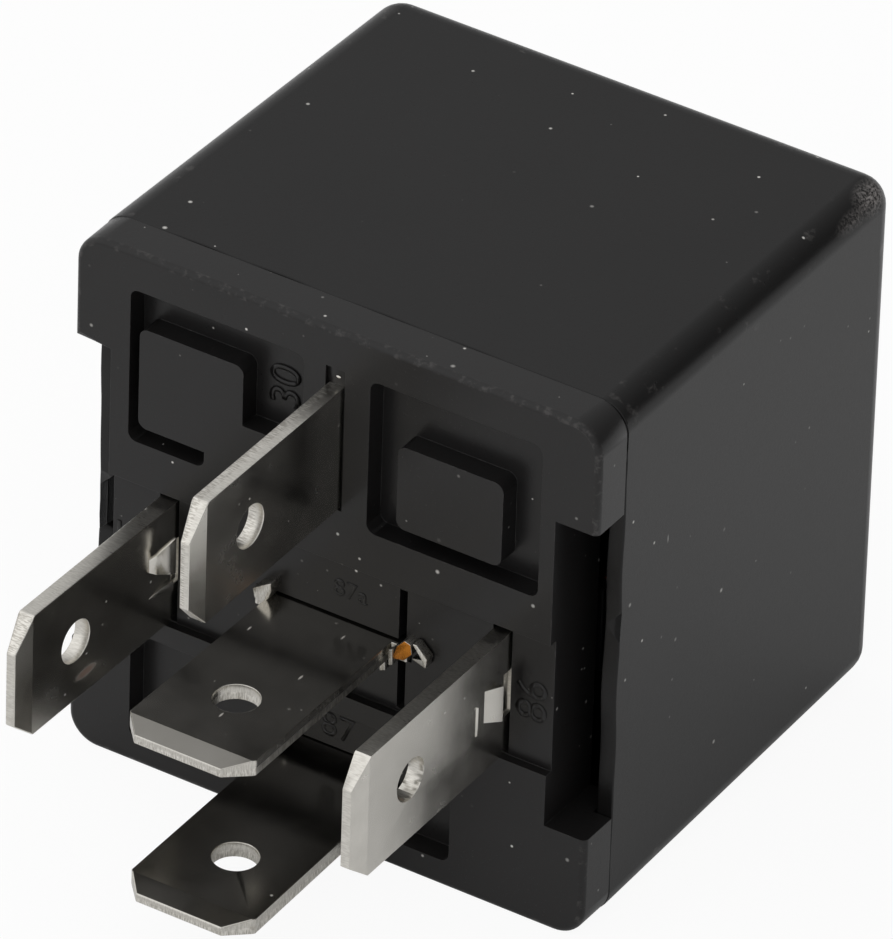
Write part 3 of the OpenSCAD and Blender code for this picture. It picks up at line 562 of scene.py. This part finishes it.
# Lances and burrs at the root of the changeover blade: outline in X and Z, front and back, brass and darkening
lanceShape = {"edge": 0.04, "lances": [
    ([(3.42, 11.2), (3.66, 11.95), (4.05, 12.38), (4.37, 12.28), (4.44, 11.8), (4.05, 11.35)],
     -0.2, 0.5, 1.0, 0.0),
    ([(4.42, 12.33), (4.62, 12.37), (5.2, 11.8), (5.13, 11.3), (4.97, 11.64)], -0.15, 0.4, 0.0, 0.0),
    ([(4.34, 11.5), (4.93, 11.64), (5.1, 11.25)], -0.08, 0.4, 0.0, 0.6),
    ([(2.84, 11.19), (3.13, 11.31), (3.16, 10.51), (2.87, 10.39)], -0.3, 0.3, 0.0, 0.2),
    ([(3.29, 11.67), (3.5, 11.77), (3.53, 10.95), (3.32, 10.85)], -0.3, 0.3, 0.0, 0.4),
    ([(-3.77, 12.12), (-3.28, 12.45), (-2.84, 12.71), (-2.81, 12.29), (-2.95, 11.86), (-3.15, 11.6),
      (-3.41, 11.52), (-3.68, 11.65)], -0.3, 0.5, 0.0, 0.1)]}


def makeLances():
    for number, (outline, front, back, bare, worn) in enumerate(lanceShape["lances"]):
        bm = bmesh.new()
        face = bm.faces.new([bm.verts.new((x, faceY + front, z)) for x, z in outline])
        body = bmesh.ops.extrude_face_region(bm, geom=[face])["geom"]
        bmesh.ops.translate(bm, vec=(0, back - front, 0),
                            verts=[g for g in body if isinstance(g, bmesh.types.BMVert)])
        bmesh.ops.recalc_face_normals(bm, faces=bm.faces)
        roundEdges(bm, lanceShape["edge"], 2)
        brass, dull, cut = (bm.faces.layers.float.new(name) for name in ("brass", "dull", "cut"))
        for f in bm.faces:
            f[brass] = bare if f.normal.y < -0.5 else 0.0
            # each lance is darkened toward the lead-in shade tone by its own share
            f[dull] = worn
            f[cut] = 0.5
        makePiece(f"lance{number}", bm, shadedLyingTin)


# Webs of the base that narrow the slots beside the blades: place from the middle of the blade, and size
webShape = [("30", (0.62, 0.91, 0), (0.42, 1.7, 6.5)), ("30", (0, 0.31, 3.7), (0.95, 0.3, 1.1)),
            ("87a", (0, 1.36, 0.75), (6.6, 1.7, 0.5))]
glintShape = {"radius": 0.1, "stretch": (1.3, 0.6, 0.7), "place": (0.09, 0.13, 24.55)}  # tin above blade 30


def makeWebs():
    bm = bmesh.new()
    for label, (x, depth, z), size in webShape:
        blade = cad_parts["terminal_" + label].data
        middle = bladeOutside([v.co / mm for v in blade.vertices])[0]
        box = bmesh.ops.create_cube(bm, size=1)["verts"]
        bmesh.ops.scale(bm, vec=size, verts=box)
        bmesh.ops.translate(bm, vec=(middle.x + x, faceY + depth, middle.z + z), verts=box)
    makePiece("slotWebs", bm, basePlastic)
    bm = bmesh.new()
    x, depth, z = glintShape["place"]
    bmesh.ops.create_icosphere(bm, subdivisions=3, radius=glintShape["radius"])
    bmesh.ops.scale(bm, vec=glintShape["stretch"], verts=bm.verts)
    bmesh.ops.translate(bm, vec=(x, faceY + depth, z), verts=bm.verts)
    makePiece("slotGlint", bm, uprightTin)


# Magnet and contact parts, each a copy with its real edge
innerShape = {  # node: name, edge, segments, material, slot, body
    "yoke": ("bentYoke", 0.1, 2, zincIron, "plated_iron", "case"),
    "core": ("turnedCore", 0.15, 2, bareIron, "plated_iron", "case"),
    "bobbin": ("mouldedBobbin", 0.1, 2, bobbinNylon, "bobbin_plastic", "case"),
    "armature": ("stampedArmature", 0.1, 2, zincIron, "plated_iron", "armature"),
    "moving_contact": ("movingContact", 0.25, 4, contactSilver, "contact_silver", "armature"),
    "fixed_contact_no": ("fixedContactOpen", 0.22, 4, contactSilver, "contact_silver", "case"),
    "fixed_contact_nc": ("fixedContactClosed", 0.22, 4, contactSilver, "contact_silver", "case"),
    "yoke_rivets": ("yokeRivets", 0.2, 4, rivetSteel, "rivet_steel", "case"),
    "armature_rivets": ("armatureRivets", 0.2, 4, rivetSteel, "rivet_steel", "armature"),
}


def makeInside():
    for node, (name, edge, segments, material, slot, body) in innerShape.items():
        bm = copyOf(node)
        roundEdges(bm, edge, segments)
        makePiece(name, bm, material, [node], body)


# Winding: one round turn of wire, repeated along the bobbin; the real wire is half as thick
windingShape = {"wire": 0.3, "steps": 56,
                "round": 0.56, "inset": 0.5, "ends": 0.6, "body": 0.6}  # these as shares of the wire


def makeWinding():
    low, high = boxOf("coil_winding")
    axis = Vector(((low.x + high.x) / 2, 0, (low.z + high.z) / 2))
    wire = windingShape["wire"]
    outer = (high.x - low.x) / 2
    bm = bmesh.new()
    ring = bmesh.ops.create_circle(bm, cap_ends=False, segments=8, radius=wire * windingShape["round"])
    start = Vector((outer - wire * windingShape["inset"], low.y + wire * windingShape["ends"], 0))
    bmesh.ops.translate(bm, vec=axis + start, verts=ring["verts"])
    bmesh.ops.spin(bm, geom=bm.verts[:] + bm.edges[:], cent=axis, axis=(0, 1, 0), angle=2 * math.pi,
                   steps=windingShape["steps"], use_merge=True)
    bmesh.ops.remove_doubles(bm, verts=bm.verts, dist=0.001)
    bmesh.ops.recalc_face_normals(bm, faces=bm.faces)
    turn = bm.verts[:] + bm.edges[:] + bm.faces[:]
    turns = int((high.y - low.y - wire * (2 * windingShape["ends"])) / wire)
    for k in range(1, turns + 1):
        copy = bmesh.ops.duplicate(bm, geom=turn)["geom"]
        bmesh.ops.translate(bm, vec=(0, k * wire, 0),
                            verts=[g for g in copy if isinstance(g, bmesh.types.BMVert)])
    # the lower layers, as one smooth body
    inner = outer - wire * windingShape["body"]
    body = bmesh.ops.create_cone(bm, cap_ends=True, segments=64, radius1=inner, radius2=inner,
                                 depth=high.y - low.y)
    bmesh.ops.rotate(bm, cent=(0, 0, 0), matrix=Matrix.Rotation(math.radians(90), 3, "X"),
                     verts=body["verts"])
    bmesh.ops.translate(bm, vec=axis + Vector((0, (low.y + high.y) / 2, 0)), verts=body["verts"])
    makePiece("coilWinding", bm, enamelledCopper, ["coil_winding"])


# Lead: wire wrapped three times round the terminal's tab, then straight to the winding
leadShape = {"turns": 3, "tab": (0.8, 2.6), "room": 0.02}


def makeLead(label, side):
    node = "coil_lead_" + label
    low, high = boxOf(node)
    wire = windingShape["wire"]
    halfX = leadShape["tab"][0] / 2 + leadShape["room"] + wire / 2
    halfZ = leadShape["tab"][1] / 2 + leadShape["room"] + wire / 2
    tabX = high.x - wire / 2 - halfX if side > 0 else low.x + wire / 2 + halfX
    startX = low.x if side > 0 else high.x
    rowZ = (low.z + high.z) / 2
    y = low.y + wire / 2
    points = [(startX, y, rowZ), (tabX - side * halfX, y, rowZ)]
    for k in range(leadShape["turns"]):
        for corner, (sx, sz) in enumerate(((-1, 1), (1, 1), (1, -1), (-1, -1))):
            along = y + (k * 4 + corner) / (4 * leadShape["turns"]) * wire * (leadShape["turns"] - 1)
            points.append((tabX + side * sx * halfX, along, rowZ + sz * halfZ))
    curve = bpy.data.curves.new("lead", "CURVE")
    curve.dimensions = "3D"
    curve.bevel_depth = wire / 2
    curve.bevel_resolution = 2
    curve.use_fill_caps = True
    spline = curve.splines.new("POLY")
    spline.points.add(len(points) - 1)
    for point, place in zip(spline.points, points):
        point.co = (*place, 1)
    holder = bpy.data.objects.new("lead", curve)
    bpy.context.scene.collection.objects.link(holder)
    bm = bmesh.new()
    bm.from_mesh(bpy.data.meshes.new_from_object(holder))
    bpy.data.objects.remove(holder)
    bmesh.ops.remove_doubles(bm, verts=bm.verts, dist=0.001)
    makePiece("coilLead" + label, bm, enamelledCopper, [node])


# Contact spring: a copy of the part with its real edge, kept out of the case body
springShape = {"edge": 0.05, "bendRadius": 1.3, "turnLine": 12.232, "leaf": 0.15, "fold": 40}


def makeSpring():
    bm = copyOf("contact_spring")
    roundEdges(bm, springShape["edge"], angle=springShape["fold"])
    spring = makePiece("contactSpring", bm, phosphorBronze, ["contact_spring"], body=None)
    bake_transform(spring)


makeCover()
makeGateMark()
makeBase()
makeNumbers()
print("housing made")
for label in ("30", "85", "86", "87", "87a"):
    makeBlade(label)
makeLugs()
makeLances()
makeWebs()
print("blades made")
makeInside()
makeWinding()
makeLead("85", -1)
makeLead("86", 1)
makeSpring()
print("inside made")


# Light tent and camera: angles in degrees, lengths in millimetres, the rest as shares of full white
studio = {"azimuth": 31.657, "elevation": 34.507, "roll": 1.931, "distance": 681.5, "lens": 592.8,
          "aim": (-1.162, faceY + 11.267, 12.913), "floorShadow": 0.07, "floorGloss": 0.12,
          "sky": 0.56, "key": 0.6, "keyFrom": (-0.55, -0.6, 0.58), "sensor": 36, "paper": 1500}


def makeCamera():
    turn, rise = math.radians(studio["azimuth"]), math.radians(studio["elevation"])
    back = Vector((math.sin(turn) * math.cos(rise), -math.cos(turn) * math.cos(rise), math.sin(rise)))
    data = bpy.data.cameras.new("camera")
    data.lens = studio["lens"]
    data.sensor_width = studio["sensor"]
    data.clip_start = 0.01
    view = bpy.data.objects.new("camera", data)
    bpy.context.scene.collection.objects.link(view)
    level = back.to_track_quat("Z", "Y").to_matrix().to_4x4()
    roll = Matrix.Rotation(math.radians(studio["roll"]), 4, "Z")
    place = (Vector(studio["aim"]) + back * studio["distance"]) * mm
    view.matrix_world = Matrix.Translation(place) @ level @ roll
    bpy.context.scene.camera = view


# White paper, seen by the eye and by polished metal as white, with a light shadow under the object
def makeFloor():
    bm = bmesh.new()
    bmesh.ops.create_grid(bm, x_segments=1, y_segments=1, size=studio["paper"] * mm)
    mesh = bpy.data.meshes.new("paperFloor")
    bm.to_mesh(mesh)
    bm.free()
    plane = bpy.data.objects.new("paperFloor", mesh)
    bpy.context.scene.collection.objects.link(plane)
    material, tree, shader = newMaterial("whitePaper")
    place = addNode(tree, "ShaderNodeTexCoord").outputs["Object"]
    fibre = addNode(tree, "ShaderNodeTexNoise", {"Scale": 1 / (0.5 * mm), "Detail": 3.0}, {"Vector": place})
    paper = addNode(tree, "ShaderNodeValToRGB", links={"Fac": fibre.outputs["Fac"]},
                    stops=[(0.3, "#f6f6f6"), (0.7, "#fafafa")])
    tree.links.new(paper.outputs["Color"], shader.inputs["Base Color"])
    shader.inputs["Roughness"].default_value = 0.9
    rays = addNode(tree, "ShaderNodeLightPath")
    seen = addNode(tree, "ShaderNodeMath", operation="MAXIMUM", links={
        0: rays.outputs["Is Camera Ray"], 1: rays.outputs["Is Transmission Ray"]})
    direct = addNode(tree, "ShaderNodeMath", {1: 1 - studio["floorShadow"]}, {0: seen.outputs[0]},
                     operation="MULTIPLY")
    mirrored = addNode(tree, "ShaderNodeMath", {1: studio["floorGloss"]}, {0: rays.outputs["Is Glossy Ray"]},
                       operation="MULTIPLY")
    share = addNode(tree, "ShaderNodeMath", links={0: direct.outputs[0], 1: mirrored.outputs[0]},
                    operation="MAXIMUM")
    white = addNode(tree, "ShaderNodeEmission", {"Color": (1, 1, 1, 1), "Strength": 1.0})
    mix = addNode(tree, "ShaderNodeMixShader", links={
        0: share.outputs[0], 1: shader.outputs[0], 2: white.outputs[0]})
    tree.links.new(mix.outputs[0], tree.nodes["Material Output"].inputs["Surface"])
    mesh.materials.append(material)


def makeSky():
    world = bpy.data.worlds.new("lightTent")
    bpy.context.scene.world = world
    world.use_nodes = True
    tree = world.node_tree
    tree.nodes.clear()
    # brighter towards the key side, darker behind on the right
    direction = addNode(tree, "ShaderNodeTexCoord").outputs["Generated"]
    facing = addNode(tree, "ShaderNodeVectorMath", {1: studio["keyFrom"]}, {0: direction},
                     operation="DOT_PRODUCT")
    level = addNode(tree, "ShaderNodeMath", {1: studio["key"], 2: studio["sky"]},
                    {0: facing.outputs["Value"]}, operation="MULTIPLY_ADD")
    tent = addNode(tree, "ShaderNodeBackground", {"Color": (1, 1, 1, 1)}, {"Strength": level.outputs[0]})
    addNode(tree, "ShaderNodeOutputWorld", links={"Surface": tent.outputs[0]})


makeCamera()
makeFloor()
makeSky()
bpy.context.scene.view_settings.view_transform = "Standard"
print("studio made")
